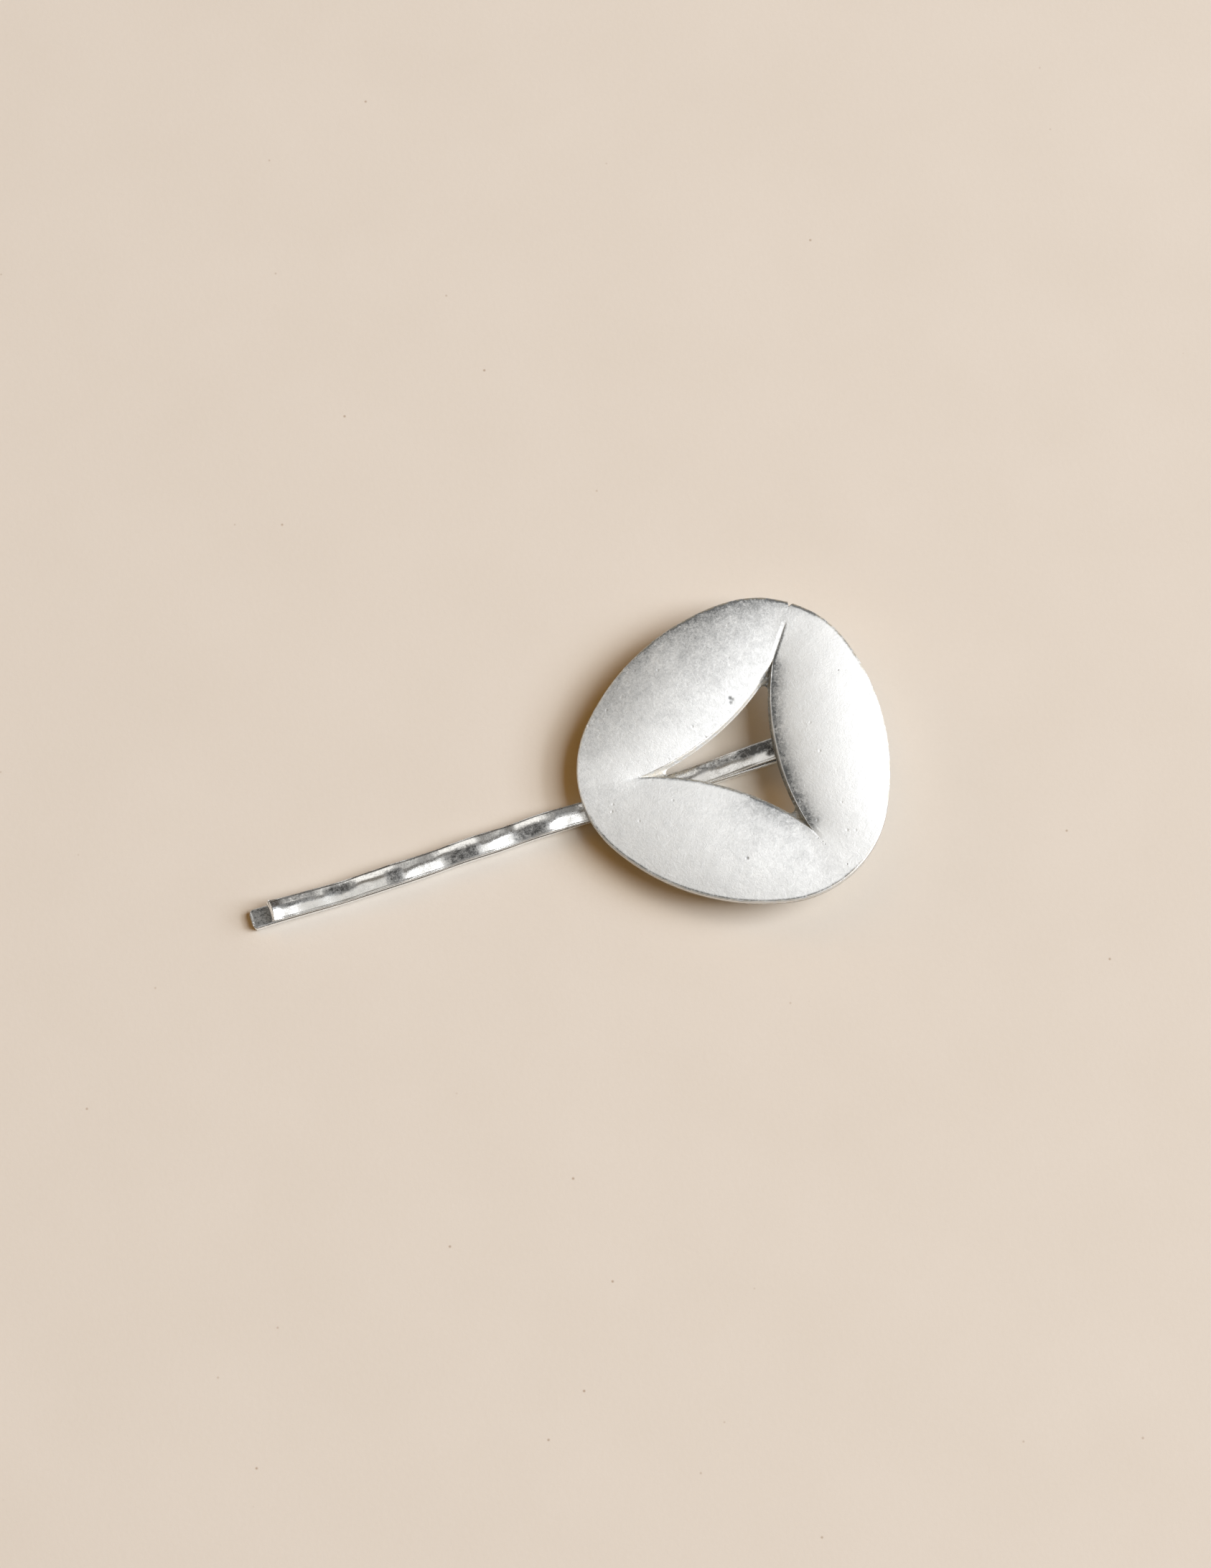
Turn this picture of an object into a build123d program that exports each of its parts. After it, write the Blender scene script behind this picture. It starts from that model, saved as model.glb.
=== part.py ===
"""Hair pin with a petal disc, lying on its lower leg.

A flat metal strip is bent double into a sprung hair pin. A round pad is soldered to its upper leg
near the bend, and a cast disc of three crowned lobes round a curved-triangle opening is fixed on
that pad. Millimetres, +Z up. +X runs along the pin from its open tip to the disc, and the origin
is the middle of the whole object's footprint, on the surface that it lies on.
"""

import os
from math import asin, atan, cos, degrees, radians, sin, sqrt, tan
from typing import NamedTuple

from build123d import *

# Pin strip
leg_width = 2.0
leg_thickness = 0.8
leg_edge_round = 0.22
leg_gap = 0.12
pin_length = 60.0
bend_radius = 1.344

# Upper leg, from the bend to its free end
pad_stretch_length = 6.5
drop_angle = 15.0
crimps_start_distance = 33.4
crimps_end_distance = 8.5
crimp_height = 0.45
free_angle = 5.0
free_radius = 12.0
free_end_distance = 2.1
curl_angle = 24.0
curl_radius = 3.2

# Pad and the film that fixes the disc on it
pad_diameter = 8.0
pad_thickness = 0.5
pad_solder_depth = 0.08
pad_setback_length = 1.14
glue_thickness = 0.05

# Disc outline: three corner arcs joined by three flatter side arcs
disc_setback_length = 7.8
disc_side_offset = 0.07
disc_lean = 5.0
corner_distance = 15.8
corner_radius = 10.5
side_radius = 21.9
first_corner_heading = 53.6

# Disc body
edge_height = 0.9
crown_height = 0.85
crown_across_radius = 16.5
crown_along_radius = 113.0

# Opening between the lobes, with a recessed web in each of its corners
opening_corner_distance = 10.1
opening_side_distance = 3.48
opening_height = 1.05
web_width = 0.27
web_height = 0.35
web_corner_radius = 0.45

# Notch in the rim at the first corner
notch_width = 0.5
notch_depth = 0.5


class Crimp(NamedTuple):
    """A half wave of the upper leg: its share of the crimped stretch, and its sense."""

    run_share: float
    rises: bool


class Corner(NamedTuple):
    """A corner of the opening and the side that follows it, against the named sizes."""

    heading_shift: float
    reach_share: float
    side_reach_share: float


CRIMPS = (
    Crimp(run_share=0.153, rises=True),
    Crimp(run_share=0.113, rises=False),
    Crimp(run_share=0.165, rises=True),
    Crimp(run_share=0.136, rises=False),
    Crimp(run_share=0.181, rises=True),
    Crimp(run_share=0.252, rises=False),
)

CORNERS = (
    Corner(heading_shift=-1.0, reach_share=1.0, side_reach_share=0.97),
    Corner(heading_shift=-0.1, reach_share=0.98, side_reach_share=1.02),
    Corner(heading_shift=0.2, reach_share=1.01, side_reach_share=1.0),
)


def polar(distance, heading):
    """Point of the disc's plane, by its distance from the disc's middle and its heading."""
    return Vector(distance * cos(radians(heading)), distance * sin(radians(heading)))


# Heights along the pin
lean = radians(disc_lean)
lower_leg_middle = leg_thickness / 2
upper_leg_middle = leg_thickness + leg_gap + leg_thickness / 2
bend_start = pin_length - bend_radius - leg_thickness / 2
bend_end = bend_start - bend_radius * sin(lean)
bend_end_height = lower_leg_middle + bend_radius * (1 + cos(lean))
pad_from_tip = bend_end - pad_setback_length
disc_from_tip = pad_from_tip - disc_setback_length


def pad_leg_middle(from_tip):
    """Middle height of the upper leg's leaning stretch, which carries the pad."""
    return bend_end_height - (bend_end - from_tip) * tan(lean)


pad_rise = (leg_thickness / 2 - pad_solder_depth + pad_thickness) / cos(lean)
pad_top = pad_leg_middle(pad_from_tip) + pad_rise
disc_underside = pad_top + glue_thickness / cos(lean) - disc_setback_length * tan(lean)

# Outline of the disc
lobe_step = 360 / len(CORNERS)
half_step = radians(lobe_step / 2)
corner_middle = corner_distance - corner_radius
side_offset = sqrt(
    (side_radius - corner_radius) ** 2 - (corner_middle * sin(half_step)) ** 2
) - corner_middle * cos(half_step)
side_distance = side_radius - side_offset


def side_touch(corner_heading, side_heading):
    """Point where a corner arc runs into the side arc beside it."""
    side_middle = polar(-side_offset, side_heading)
    towards_corner = polar(corner_middle, corner_heading) - side_middle
    return side_middle + towards_corner.normalized() * side_radius


with BuildSketch() as outline:
    with BuildLine():
        for index in range(len(CORNERS)):
            heading = first_corner_heading + index * lobe_step
            side = heading + lobe_step / 2
            corner_start = side_touch(heading, side - lobe_step)
            corner_end = side_touch(heading, side)
            side_end = side_touch(heading + lobe_step, side)
            ThreePointArc(corner_start, polar(corner_distance, heading), corner_end)
            ThreePointArc(corner_end, polar(side_distance, side), side_end)
    make_face()


def opening_corner(index):
    """Distance and heading of a corner of the opening; the index may run on past the last."""
    corner = CORNERS[index % len(CORNERS)]
    heading = first_corner_heading + index * lobe_step + corner.heading_shift
    return opening_corner_distance * corner.reach_share, heading


with BuildSketch() as opening:
    with BuildLine():
        for index, corner in enumerate(CORNERS):
            reach, heading = opening_corner(index)
            next_reach, next_heading = opening_corner(index + 1)
            side = (heading + next_heading) / 2
            side_point = polar(opening_side_distance * corner.side_reach_share, side)
            ThreePointArc(polar(reach, heading), side_point, polar(next_reach, next_heading))
    make_face()

with BuildSketch() as through_opening:
    add(opening.sketch)
    offset(amount=-web_width, kind=Kind.INTERSECTION, mode=Mode.REPLACE)
    fillet(through_opening.vertices(), web_corner_radius)

# Places of the pieces: the footprint is centred on the origin
outline_box = outline.sketch.bounding_box()
tip_x = -(disc_from_tip + outline_box.max.X * cos(lean)) / 2
pin_y = -(outline_box.max.Y + outline_box.min.Y) / 2 - disc_side_offset
side_view = Plane(origin=(tip_x, pin_y, 0), x_dir=(1, 0, 0), z_dir=(0, -1, 0))


def leaning_plane(from_tip, aside, height):
    """Plane parallel to the disc, over a point of the pin."""
    return Plane(
        origin=(tip_x + from_tip, pin_y + aside, height),
        x_dir=(cos(lean), 0, sin(lean)),
        z_dir=(-sin(lean), 0, cos(lean)),
    )


pad_plane = leaning_plane(pad_from_tip, 0, pad_top)
disc_plane = leaning_plane(disc_from_tip, disc_side_offset, disc_underside)
crest_height = edge_height + crown_height


def draw_turns(line, turns):
    """Tangent arcs from a line's end, each given by its radius and signed angle."""
    for radius, angle in turns:
        line = JernArc(start=line @ 1, tangent=line % 1, radius=radius, arc_size=angle)
    return line


def crimp_turns(crimp):
    """Two equal arcs that change the height by crimp_height and end level again."""
    run = crimp.run_share * (crimps_start_distance - crimps_end_distance)
    radius = (run**2 + crimp_height**2) / (4 * crimp_height)
    angle = 2 * degrees(atan(crimp_height / run))
    sense = -1 if crimp.rises else 1
    return [(radius, sense * angle), (radius, -sense * angle)]


with BuildPart() as bobby_pin:
    with BuildLine(side_view):
        lower_leg = Line((0, lower_leg_middle), (bend_start, lower_leg_middle))
        bend = draw_turns(lower_leg, [(bend_radius, 180 + disc_lean)])
        drop_start = bend_end - pad_stretch_length
        drop = pad_leg_middle(drop_start) - upper_leg_middle
        drop_radius = drop / (1 + cos(lean) - 2 * cos(radians(drop_angle)))
        pad_leg = Line(bend @ 1, (drop_start, pad_leg_middle(drop_start)))
        descent = draw_turns(
            pad_leg, [(drop_radius, drop_angle - disc_lean), (drop_radius, -drop_angle)]
        )
        crimped = Line(descent @ 1, (crimps_start_distance, upper_leg_middle))
        for crimp in CRIMPS:
            crimped = draw_turns(crimped, crimp_turns(crimp))
        bent_up = draw_turns(crimped, [(free_radius, -free_angle)])
        curl_run = curl_radius * (sin(radians(free_angle + curl_angle)) - sin(radians(free_angle)))
        free_run = (bent_up @ 1).X - tip_x - curl_run - free_end_distance
        free_leg = Line(bent_up @ 1, (bent_up @ 1) + (bent_up % 1) * free_run)
        draw_turns(free_leg, [(curl_radius, -curl_angle)])
    with BuildSketch(Plane(origin=lower_leg @ 0, x_dir=(0, 1, 0), z_dir=lower_leg % 0)):
        RectangleRounded(leg_width, leg_thickness, leg_edge_round)
    sweep()
    with BuildSketch(pad_plane):
        Circle(pad_diameter / 2)
    extrude(amount=-pad_thickness)


def roof_axis(heading):
    """Axis about which a lobe's roof is revolved: the heading's line, far below the crest."""
    depth = crest_height - crown_along_radius
    along = disc_plane.from_local_coords(polar(1, heading)) - disc_plane.origin
    return Axis(disc_plane.from_local_coords((0, 0, depth)), along)


with BuildPart() as petal_disc:
    crest_distance = (opening_side_distance + side_distance) / 2
    half_span = degrees(asin(corner_distance / crown_along_radius))
    for index in range(len(CORNERS)):
        axis = roof_axis(first_corner_heading + (index + 0.5) * lobe_step)
        across = Plane(
            origin=axis.position,
            x_dir=axis.direction,
            z_dir=axis.direction.cross(disc_plane.z_dir),
        )
        with BuildSketch(across * Rot(X=-half_span)):
            with Locations((crest_distance, crown_along_radius - crown_across_radius)):
                Circle(crown_across_radius)
        revolve(axis=axis, revolution_arc=2 * half_span)
    with BuildSketch(disc_plane):
        add(outline.sketch)
    extrude(amount=2 * crest_height, mode=Mode.INTERSECT)
    with BuildSketch(disc_plane.offset(opening_height)) as drafted_opening:
        add(opening.sketch)
    extrude(amount=crest_height, mode=Mode.SUBTRACT)
    web_depth = opening_height - web_height
    draft = degrees(atan(web_width / web_depth))
    extrude(drafted_opening.sketch, amount=-web_depth, taper=draft, mode=Mode.SUBTRACT)
    with BuildSketch(disc_plane):
        add(through_opening.sketch)
    extrude(amount=opening_height, mode=Mode.SUBTRACT)
    with BuildSketch(disc_plane):
        with Locations(polar(corner_distance, first_corner_heading)):
            Polygon(
                (-notch_depth, 0),
                (notch_depth, -notch_width),
                (notch_depth, notch_width),
                rotation=first_corner_heading,
                align=None,
            )
    extrude(amount=crest_height, mode=Mode.SUBTRACT)

bobby_pin.part.label = "bobby_pin"
petal_disc.part.label = "petal_disc"
os.makedirs("parts", exist_ok=True)
export_step(bobby_pin.part, "parts/bobby_pin.step")
export_step(petal_disc.part, "parts/petal_disc.step")
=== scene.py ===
"""A silver-plated hair pin with a petal disc, lying on pale paper under soft studio light.

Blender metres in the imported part's frame. The classes keep their sizes in millimetres, measured
as the part's source has them, and turn them into metres when a mesh is made.
"""

import logging
import math
from dataclasses import dataclass, field
from enum import Enum, IntEnum
from typing import Mapping, Sequence, Union

import bpy
import numpy as np
from mathutils import Matrix


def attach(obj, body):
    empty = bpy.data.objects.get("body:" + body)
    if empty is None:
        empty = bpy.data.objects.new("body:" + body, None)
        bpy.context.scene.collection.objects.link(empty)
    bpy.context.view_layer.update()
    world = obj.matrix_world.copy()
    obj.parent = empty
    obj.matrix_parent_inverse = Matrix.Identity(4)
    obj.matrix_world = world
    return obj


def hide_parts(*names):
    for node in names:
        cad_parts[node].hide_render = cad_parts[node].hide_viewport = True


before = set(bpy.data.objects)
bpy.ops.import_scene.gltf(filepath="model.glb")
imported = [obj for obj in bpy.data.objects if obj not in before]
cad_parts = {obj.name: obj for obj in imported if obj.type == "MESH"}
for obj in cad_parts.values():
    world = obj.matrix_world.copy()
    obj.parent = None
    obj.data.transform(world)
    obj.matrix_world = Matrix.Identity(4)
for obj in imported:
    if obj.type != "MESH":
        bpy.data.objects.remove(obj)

LOG = logging.getLogger("hair_pin")
MM = 0.001
Array = np.ndarray
Colour = tuple[float, float, float, float]
Tint = tuple[float, float, float]
Value = Union["Wire", float, Sequence[float]]


class Mark(Enum):
    """Numbers that a mesh stores at its points, for its finish to read."""

    TARNISH_AND_SHADE = "tarnish_and_shade"
    WARM = "warm"
    WORN = "worn"


class Lobe(IntEnum):
    """The disc's lobes, in the order of the opening's sides, as the picture shows them."""

    UPPER_LEFT = 0
    LOWER = 1
    RIGHT = 2


# Curves and planes


def smooth_step(value: Array, low: float, high: float) -> Array:
    """0 below low, 1 above high, and the cubic 3t^2 - 2t^3 between them."""
    t = np.clip((value - low) / (high - low), 0.0, 1.0)
    return t * t * (3.0 - 2.0 * t)


def hump(value: Array, centre: float, reach: float, power: float = 2.0) -> Array:
    """1 at the centre, falling to both sides as exp(-(|value - centre| / reach)^power)."""
    return np.exp(-((np.abs(value - centre) / reach) ** power))


def turn_from(heading: Array, degrees: float) -> Array:
    """Signed turn in radians, from -pi to pi, from a heading that is given in degrees."""
    return (heading - math.radians(degrees) + math.pi) % (2.0 * math.pi) - math.pi


def ripple(u: Array, v: Array, lengths: Sequence[float]) -> Array:
    """Uneven surface from -1 to 1: a mean of crossed waves, sin(k a + p) cos(0.8 k b + q).

    Args:
        u: first place of each point.
        v: second place of each point.
        lengths: the waves' lengths, each of which gives its k and lies in a direction of its own.

    Returns:
        A number for each point.
    """
    total = np.zeros(np.broadcast(u, v).shape)
    for number, length in enumerate(lengths):
        wave = 2.0 * math.pi / length
        lean = 0.7 + 1.9 * number
        across = u * math.cos(lean) + v * math.sin(lean)
        along = v * math.cos(lean * 1.3) - u * math.sin(lean * 1.3)
        total += np.sin(wave * across + 1.7 * number) * np.cos(0.8 * wave * along + 0.6)
    return total / len(lengths)


@dataclass(frozen=True)
class Arc:
    """A stretch of headings about a centre, in degrees, with soft ends or in the form of a bell."""

    centre: float
    half_width: float
    soft: float = 0.0

    def share(self, heading: Array) -> Array:
        """How far each heading belongs to the arc.

        With soft ends it is 1 within half_width and falls by a smooth step over soft degrees. A
        bell is (1 + cos(pi t)) / 2, with t the turn from the centre over half_width.

        Args:
            heading: headings in radians.

        Returns:
            A share from 0 to 1 for each heading.
        """
        turn = np.abs(np.degrees(turn_from(heading, self.centre)))
        if self.soft > 0.0:
            return 1.0 - smooth_step(turn, self.half_width, self.half_width + self.soft)
        return 0.5 + 0.5 * np.cos(np.clip(turn / self.half_width, 0.0, 1.0) * math.pi)


@dataclass(frozen=True)
class Tilted:
    """A plane that leans like the disc: its middle, and its slope up towards +X."""

    middle: tuple[float, float, float]
    lean: float = 5.0

    def lift(self, x: Array, y: Array, z: Array) -> Array:
        """Takes points of the plane into the part's frame.

        Args:
            x: place of each point up the slope.
            y: place of each point across it.
            z: height of each point over the plane.

        Returns:
            x, y, z of each point, on a last axis of its own.
        """
        c, s = math.cos(math.radians(self.lean)), math.sin(math.radians(self.lean))
        mx, my, mz = self.middle
        return np.stack([mx + c * x - s * z, my + y, mz + s * x + c * z], axis=-1)


# The lower leg's tip, the disc's underside and the pad's top, as the part's source places them.
PIN_TIP = (-31.6541, 0.2254)
DISC_PLANE = Tilted((17.5453, 0.2954, 3.1742))
PAD_PLANE = Tilted((25.3459, 0.2254, 3.8064))


# Shader graphs


@dataclass(frozen=True)
class Wire:
    """An output socket of a shader graph. Arithmetic on it adds Math nodes."""

    graph: "ShaderGraph"
    socket: bpy.types.NodeSocket

    def __add__(self, other: Value) -> "Wire":
        """Sum of two values."""
        return self.graph.math("ADD", self, other)

    def __sub__(self, other: Value) -> "Wire":
        """Difference of two values."""
        return self.graph.math("SUBTRACT", self, other)

    def __mul__(self, other: Value) -> "Wire":
        """Product of two values."""
        return self.graph.math("MULTIPLY", self, other)

    def __truediv__(self, other: Value) -> "Wire":
        """Quotient of two values."""
        return self.graph.math("DIVIDE", self, other)

    def __rsub__(self, other: Value) -> "Wire":
        """Difference with this value on the right."""
        return self.graph.math("SUBTRACT", other, self)

    __radd__ = __add__
    __rmul__ = __mul__

    def clamped(self) -> "Wire":
        """This value held between 0 and 1."""
        return self.graph.math("ADD", self, 0.0, {"use_clamp": True})


class ShaderGraph:
    """The node tree of a material or a world, with one way to add a node."""

    def __init__(self, tree: bpy.types.NodeTree) -> None:
        """Starts an empty graph on that tree."""
        self.tree = tree
        tree.nodes.clear()

    def node(
        self,
        kind: str,
        settings: Mapping[str, object] | None = None,
        inputs: Mapping[str | int, Value] | None = None,
    ) -> bpy.types.Node:
        """Adds a node, sets it up, and then fills or links its sockets.

        Args:
            kind: the node's type.
            settings: its properties, and "stops" for a ramp's (position, grey) pairs.
            inputs: a value or wire for each socket, by name or number.

        Returns:
            The new node.
        """
        made = self.tree.nodes.new(kind)
        for name, value in (settings or {}).items():
            if name == "stops":
                self._set_stops(made.color_ramp, value)
            else:
                setattr(made, name, value)
        for name, value in (inputs or {}).items():
            if isinstance(value, Wire):
                self.tree.links.new(value.socket, made.inputs[name])
            else:
                made.inputs[name].default_value = value
        return made

    @staticmethod
    def _set_stops(ramp: bpy.types.ColorRamp, stops: Sequence[tuple[float, float]]) -> None:
        """Gives a colour ramp its grey stops.

        Args:
            ramp: the new ramp, which has two stops.
            stops: position and grey of each stop, in rising order of position.
        """
        while len(ramp.elements) < len(stops):
            ramp.elements.new(1.0)
        for element, (position, grey) in zip(ramp.elements, stops):
            element.position = position
            element.color = (grey, grey, grey, 1.0)

    def wire(self, node: bpy.types.Node, output: str | int = 0) -> Wire:
        """The named or numbered output of a node."""
        return Wire(self, node.outputs[output])

    def math(
        self, operation: str, a: Value, b: Value = 0.0, settings: Mapping[str, object] | None = None
    ) -> Wire:
        """One Math node on two values."""
        setup = {"operation": operation, **(settings or {})}
        return self.wire(self.node("ShaderNodeMath", setup, {0: a, 1: b}))

    def ramp(self, value: Wire, stops: Sequence[tuple[float, float]]) -> Wire:
        """A grey ramp over a value."""
        return self.wire(self.node("ShaderNodeValToRGB", {"stops": stops}, {"Fac": value}))

    def mix(self, factor: Value, low: Value, high: Value) -> Wire:
        """Blends two colours: low at factor 0, high at factor 1."""
        inputs = {0: factor, 6: low, 7: high}
        return self.wire(self.node("ShaderNodeMix", {"data_type": "RGBA"}, inputs), 2)

    def vector_math(self, operation: str, a: Value, b: Value, output: str = "Vector") -> Wire:
        """One Vector Math node on two vectors."""
        made = self.node("ShaderNodeVectorMath", {"operation": operation}, {0: a, 1: b})
        return self.wire(made, output)

    def scaled(self, vector: Value, factor: Value) -> Wire:
        """A vector times a number."""
        inputs = {0: vector, "Scale": factor}
        made = self.node("ShaderNodeVectorMath", {"operation": "SCALE"}, inputs)
        return self.wire(made, "Vector")

    def place(self) -> Wire:
        """Object coordinates of the shaded point, in metres."""
        return self.wire(self.node("ShaderNodeTexCoord"), "Object")

    def attribute(self, mark: Mark) -> Wire:
        """A number that the mesh stores at each of its points."""
        return self.wire(self.node("ShaderNodeAttribute", {"attribute_name": mark.value}), "Fac")

    def noise(
        self, grain_mm: float, detail: float = 2.0, roughness: float = 0.5, curl: float = 0.0
    ) -> Wire:
        """Noise from 0 to 1 whose features are about grain_mm wide.

        Args:
            grain_mm: size of the largest features.
            detail: how many finer layers are added.
            roughness: how strong the finer layers are.
            curl: how far the pattern is drawn out into curls.

        Returns:
            The noise.
        """
        inputs = {
            "Vector": self.place(),
            "Scale": 1.0 / (grain_mm * MM),
            "Detail": detail,
            "Roughness": roughness,
            "Distortion": curl,
        }
        return self.wire(self.node("ShaderNodeTexNoise", None, inputs), 0)

    def bump(self, height: Wire, depth_mm: float, strength: float = 1.0) -> Wire:
        """Surface normal of a relief that is depth_mm deep where height goes from 0 to 1."""
        inputs = {"Height": height, "Distance": depth_mm * MM, "Strength": strength}
        return self.wire(self.node("ShaderNodeBump", None, inputs))

    def dents(self, spacing_mm: float, radius_mm: float) -> Wire:
        """Round dents at uneven places.

        Args:
            spacing_mm: how far apart they lie, about.
            radius_mm: where a dent ends.

        Returns:
            1 in the middle of a dent, falling by a smooth step to 0 at its edge.
        """
        settings = {"feature": "F1", "distance": "EUCLIDEAN"}
        inputs = {"Vector": self.place(), "Scale": 1.0 / (spacing_mm * MM), "Randomness": 1.0}
        cells = self.node("ShaderNodeTexVoronoi", settings, inputs)
        return self._dome(self.wire(cells, "Distance") * (spacing_mm / radius_mm))

    def spot(self, centre: Sequence[float], radius_mm: float) -> Wire:
        """1 at a point given in metres, falling by a smooth step to 0 at radius_mm from it."""
        gap = self.vector_math("DISTANCE", self.place(), tuple(centre), "Value")
        return self._dome(gap / (radius_mm * MM))

    @staticmethod
    def _dome(gap: Wire) -> Wire:
        """3t^2 - 2t^3 with t = 1 - gap, held between 0 and 1."""
        near = (1.0 - gap).clamped()
        return near * near * (3.0 - 2.0 * near)


def new_material(name: str) -> tuple[bpy.types.Material, ShaderGraph]:
    """Makes an empty material.

    Args:
        name: the material's name.

    Returns:
        The material and its graph.
    """
    material = bpy.data.materials.new(name)
    material.use_nodes = True
    return material, ShaderGraph(material.node_tree)


def finish_material(graph: ShaderGraph, inputs: Mapping[str, Value]) -> None:
    """Puts one Principled shader with those sockets on the graph's surface."""
    shader = graph.node("ShaderNodeBsdfPrincipled", None, inputs)
    graph.node("ShaderNodeOutputMaterial", None, {"Surface": graph.wire(shader)})


# Finishes


@dataclass(frozen=True)
class Dimple:
    """A small dent of the casting: its place in the disc's plane, its radius and its darkness."""

    x: float
    y: float
    height: float
    radius: float
    darkness: float


DIMPLES = (
    Dimple(0.84, 5.5, 1.3, 0.3, 0.9),
    Dimple(1.05, 5.28, 1.3, 0.3, 0.8),
    Dimple(0.78, 5.05, 1.3, 0.32, 1.0),
    Dimple(-2.64, -9.95, 1.7, 0.24, 0.9),
    Dimple(8.4, 5.9, 1.7, 0.16, 0.4),
    Dimple(11.5, 4.6, 1.3, 0.12, 0.5),
    Dimple(4.3, -10.2, 1.1, 0.13, 0.7),
    Dimple(4.6, -10.7, 1.1, 0.11, 0.6),
    Dimple(4.75, -11.0, 1.1, 0.1, 0.6),
    Dimple(6.07, -13.5, 1.0, 0.14, 0.4),
)


@dataclass(frozen=True)
class CastSilver:
    """Matt tumbled silver plate on cast brass: mottled grain, tarnished patches with painted shade,
    and worn warm edges.
    """

    plane: Tilted
    dimples: tuple[Dimple, ...] = DIMPLES
    bright: Colour = (0.945, 0.955, 0.955, 1.0)
    tarnish_and_shade: Colour = (0.235, 0.245, 0.25, 1.0)
    warm: Colour = (0.9, 0.76, 0.52, 1.0)
    roughness: float = 0.78
    relief_mm: float = 0.042

    def material(self) -> bpy.types.Material:
        """Builds the finish; it reads the mesh's marks: tarnished plate with painted shade, warm
        metal and wear.

        The marks say where the plate is tarnished and where shade is painted on it, where it is
        brassy and where it is rubbed bright; three sizes of noise break up their outlines.

        Returns:
            The material.
        """
        material, graph = new_material("cast_silver")
        grain = graph.noise(0.2, 2.0, 0.6, 0.9)
        mottle = graph.noise(0.6, 3.0, 0.6, 0.7)
        cloud = graph.noise(2.4, 3.0, 0.6, 0.5)
        dents = graph.dents(2.1, 0.2)
        tarnish_and_shade = graph.attribute(Mark.TARNISH_AND_SHADE)
        uneven = (grain - 0.5) * 1.5 + (mottle - 0.5) * 1.05 + (cloud - 0.5) * 1.0
        shade = (tarnish_and_shade + uneven * (0.04 + tarnish_and_shade * 1.4)).clamped()
        relief = grain * 0.5 + mottle * 0.7 - dents * 0.9
        for dimple in self.dimples:
            places = (np.array(place) for place in (dimple.x, dimple.y, dimple.height))
            pit = graph.spot((self.plane.lift(*places) * MM).tolist(), dimple.radius)
            relief = relief - pit * 1.5
            shade = (shade + pit * dimple.darkness).clamped()
        colour = graph.mix(shade, self.bright, self.tarnish_and_shade)
        rubbed = graph.ramp(mottle, ((0.36, 0.0), (0.56, 1.0)))
        colour = graph.mix((graph.attribute(Mark.WARM) * rubbed).clamped(), colour, self.warm)
        worn = graph.attribute(Mark.WORN) * graph.ramp(grain, ((0.25, 0.0), (0.42, 1.0)))
        roughness = self.roughness + (mottle - 0.5) * 0.25 - worn * 0.4
        finish_material(
            graph,
            {
                "Base Color": graph.mix(worn.clamped(), colour, self.bright),
                "Metallic": 1.0,
                "Roughness": roughness.clamped(),
                "Normal": graph.bump(relief, self.relief_mm),
            },
        )
        return material


@dataclass(frozen=True)
class StripSilver:
    """Tumbled silver plate on spring strip: shinier than the casting, dark in its lows, and with
    painted shadow and shade under the disc.
    """

    bright: Colour = (0.94, 0.965, 0.985, 1.0)
    tarnish_and_shade: Colour = (0.11, 0.112, 0.112, 1.0)
    roughness: float = 0.24
    relief_mm: float = 0.02

    def material(self) -> bpy.types.Material:
        """Builds the finish; it reads the mesh's marks of dark patches with painted shadow, and of
        wear.

        Noise breaks up the dark mark t by 0.12 + 1.65 t (1.25 - t), so most where t is halfway.

        Returns:
            The material.
        """
        material, graph = new_material("strip_silver")
        grain = graph.noise(0.13, 2.0, 0.6)
        dents = graph.noise(0.42, 3.0, 0.6)
        tarnish_and_shade = graph.attribute(Mark.TARNISH_AND_SHADE)
        uneven = (dents - 0.5) * 1.6 + (grain - 0.5) * 1.3
        spread = 0.12 + tarnish_and_shade * (1.25 - tarnish_and_shade) * 1.65
        shade = graph.ramp((tarnish_and_shade + uneven * spread).clamped(), ((0.1, 0.0), (0.95, 1.0)))
        worn = graph.attribute(Mark.WORN) * graph.ramp(grain, ((0.42, 0.0), (0.54, 1.0)))
        colour = graph.mix(worn.clamped(), graph.mix(shade, self.bright, self.tarnish_and_shade), self.bright)
        finish_material(
            graph,
            {
                "Base Color": colour,
                "Metallic": 1.0,
                "Roughness": (self.roughness + shade * 0.3 + (grain - 0.5) * 0.2).clamped(),
                "Normal": graph.bump(dents * 0.7 + grain * 0.3, self.relief_mm, 0.5),
            },
        )
        return material


@dataclass(frozen=True)
class PalePaper:
    """Warm off-white paper with a soft, barely visible tooth."""

    light: Colour = (0.7, 0.675, 0.627, 1.0)
    deep: Colour = (0.655, 0.625, 0.568, 1.0)
    speck: Colour = (0.33, 0.24, 0.16, 1.0)
    tooth_mm: float = 0.03

    def material(self) -> bpy.types.Material:
        """Builds the finish of the floor: clouds and tooth between two tones, and sparse specks.

        Returns:
            The material.
        """
        material, graph = new_material("pale_paper")
        cloud = graph.noise(14.0, 3.0, 0.55)
        tooth = graph.noise(0.5, 3.0, 0.65)
        shade = ((cloud - 0.5) * 0.9 + (tooth - 0.5) * 0.5 + 0.4).clamped()
        colour = graph.mix(shade, self.light, self.deep)
        specks = graph.dents(5.0, 0.2) * 0.8
        finish_material(
            graph,
            {
                "Base Color": graph.mix(specks, colour, self.speck),
                "Roughness": 0.9,
                "Normal": graph.bump(tooth, self.tooth_mm, 0.35),
                "Specular IOR Level": 0.2,
            },
        )
        return material


# Meshes


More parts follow.
